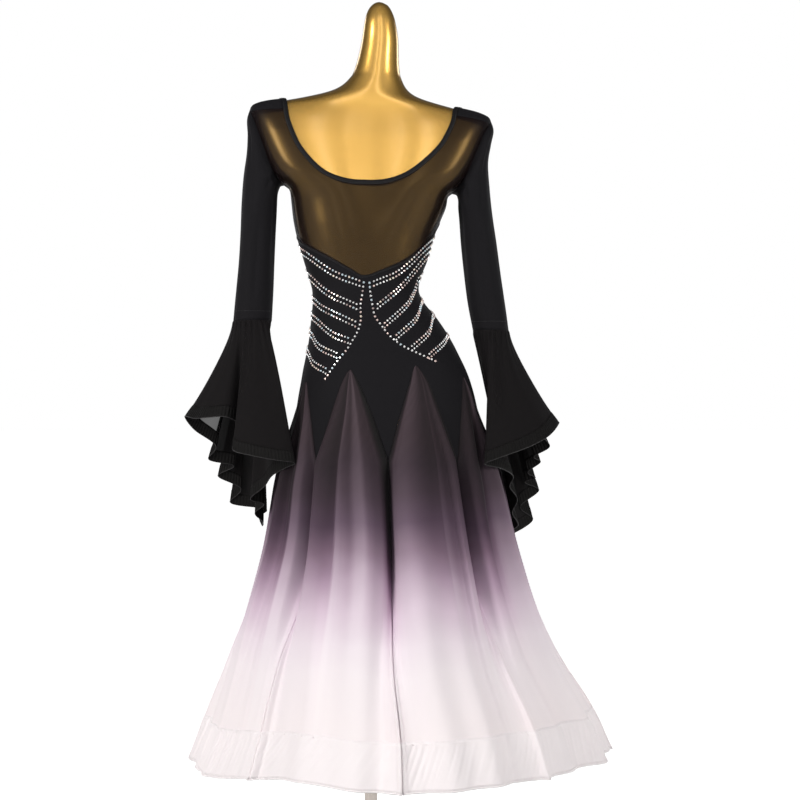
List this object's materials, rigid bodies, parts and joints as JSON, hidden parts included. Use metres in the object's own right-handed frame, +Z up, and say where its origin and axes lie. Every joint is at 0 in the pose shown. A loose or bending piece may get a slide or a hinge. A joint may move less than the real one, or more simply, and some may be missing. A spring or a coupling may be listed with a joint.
{
  "type": "ballroom dance dress on a limbless dress form with a stand",
  "caption": "Open-backed, long-sleeved dance dress with bell flounces and a flared godet skirt, worn by a limbless form on a pole and round base.",
  "frame": {"origin": "middle of the base's underside, on the pole's axis and on the floor", "axes": "+Z up; the back of the dress faces -Y and its front +Y; +X is the wearer's right side"},
  "size_m": [0.7757, 0.7642, 1.5965],
  "materials": {
    "sheer_mesh": "sheer black stretch mesh, satin",
    "black_jersey": "matt black stretch jersey",
    "black_binding": "folded black binding",
    "black_georgette": "thin black georgette",
    "ombre_georgette": "georgette dyed from plum grey at the hip to white",
    "white_hem": "white crinoline hem band under georgette",
    "gold_form": "glossy gold lacquer",
    "stand_metal": "brushed steel"
  },
  "bodies": {
    "root": {"back_mesh": "sheer_mesh", "back_body": "black_jersey", "front_body": "black_jersey", "neck_binding": "black_binding", "sleeve_left": "black_jersey", "sleeve_right": "black_jersey", "flounce_left": "black_georgette", "flounce_right": "black_georgette", "flounce_band_left": "black_georgette", "flounce_band_right": "black_georgette", "godet_back_left": "ombre_georgette", "godet_back_right": "ombre_georgette", "godet_right_back": "ombre_georgette", "godet_right_front": "ombre_georgette", "godet_front_right": "ombre_georgette", "godet_front_left": "ombre_georgette", "godet_left_front": "ombre_georgette", "godet_left_back": "ombre_georgette", "hem_band_back_left": "white_hem", "hem_band_back_right": "white_hem", "hem_band_right_back": "white_hem", "hem_band_right_front": "white_hem", "hem_band_front_right": "white_hem", "hem_band_front_left": "white_hem", "hem_band_left_front": "white_hem", "hem_band_left_back": "white_hem", "form_torso": "gold_form", "form_socket": "stand_metal", "form_pole": "stand_metal", "form_base": "stand_metal"}
  },
  "joints": []
}
